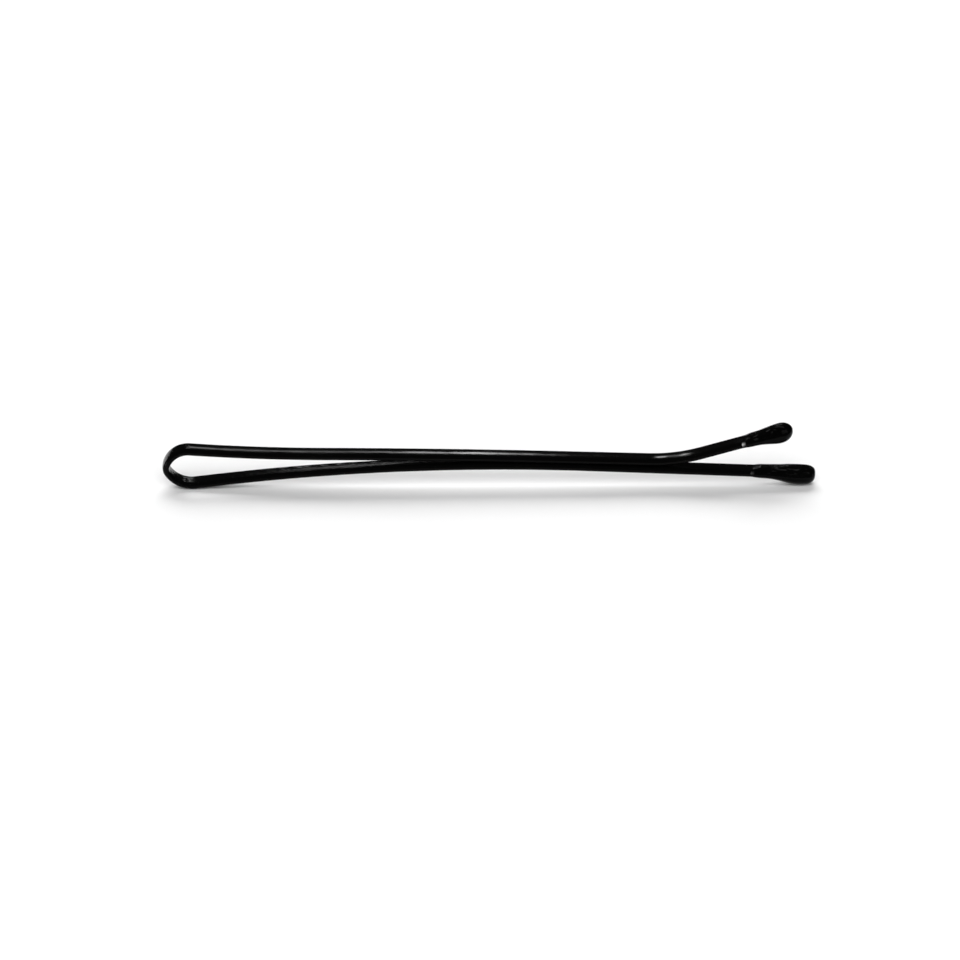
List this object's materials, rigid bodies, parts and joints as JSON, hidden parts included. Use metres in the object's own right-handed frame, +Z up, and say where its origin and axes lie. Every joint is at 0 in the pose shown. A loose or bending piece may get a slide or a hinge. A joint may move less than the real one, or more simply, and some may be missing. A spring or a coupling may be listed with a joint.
{
  "type": "bobby pin",
  "caption": "Straight bobby pin of black lacquered flat spring wire, bent at the bow into a plain lower leg and a flared upper leg, with resin bead tips; it opens by flexing and pinches shut.",
  "frame": {"origin": "the plane the pin stands on, below the middle of its length and width", "axes": "+X from the bow to the tips, +Y across the strip, +Z up, from the lower leg to the upper leg"},
  "size_m": [0.051, 0.0022, 0.005],
  "materials": {
    "black_lacquer": "gloss",
    "black_resin": "gloss"
  },
  "bodies": {
    "lower_half": {"lower_leg": "black_lacquer", "bow": "black_lacquer", "lower_tip": "black_resin"},
    "upper_half": {"upper_leg": "black_lacquer", "upper_tip": "black_resin"}
  },
  "joints": [
    {"name": "opening", "type": "hinge", "parent": "lower_half", "child": "upper_half", "pos_m": [-0.02457, 0, 0.00167], "axis": [0, -1, 0], "range_deg": [0, 18], "stiffness_Nm_per_rad": 0.163, "deforming": ["bow"]}
  ]
}
